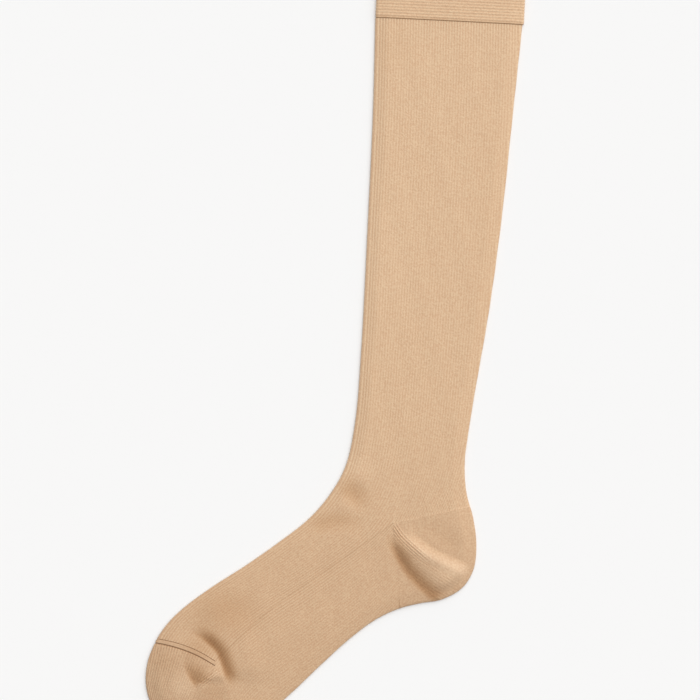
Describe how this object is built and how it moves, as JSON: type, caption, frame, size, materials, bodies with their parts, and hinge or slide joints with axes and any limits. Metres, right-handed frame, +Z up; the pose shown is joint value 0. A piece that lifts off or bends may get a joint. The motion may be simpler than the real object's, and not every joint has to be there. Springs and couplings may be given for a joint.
{
  "type": "compression stocking",
  "caption": "Knee-high compression stocking in fine ribbed elastic knit, with a turned band, a pocket heel and a closed toe, laid flat on its side.",
  "frame": {"origin": "middle of the bounding box, on the surface that the stocking lies on", "axes": "+Y up the leg along the front fold towards the mouth, +X towards the calf and the heel, +Z up from the surface"},
  "size_m": [0.2346, 0.518, 0.0074],
  "materials": {
    "band_knit": "matt elastic knit with fine crosswise courses",
    "rib_knit": "matt elastic knit with fine lengthwise ribs",
    "plain_knit": "matt plain elastic knit",
    "seam_knit": "matt linked row of stitches"
  },
  "bodies": {
    "root": {"top_band": "band_knit", "leg": "rib_knit", "heel_pocket": "plain_knit", "foot": "rib_knit", "toe_seam": "seam_knit", "toe_cap": "plain_knit"}
  },
  "joints": []
}
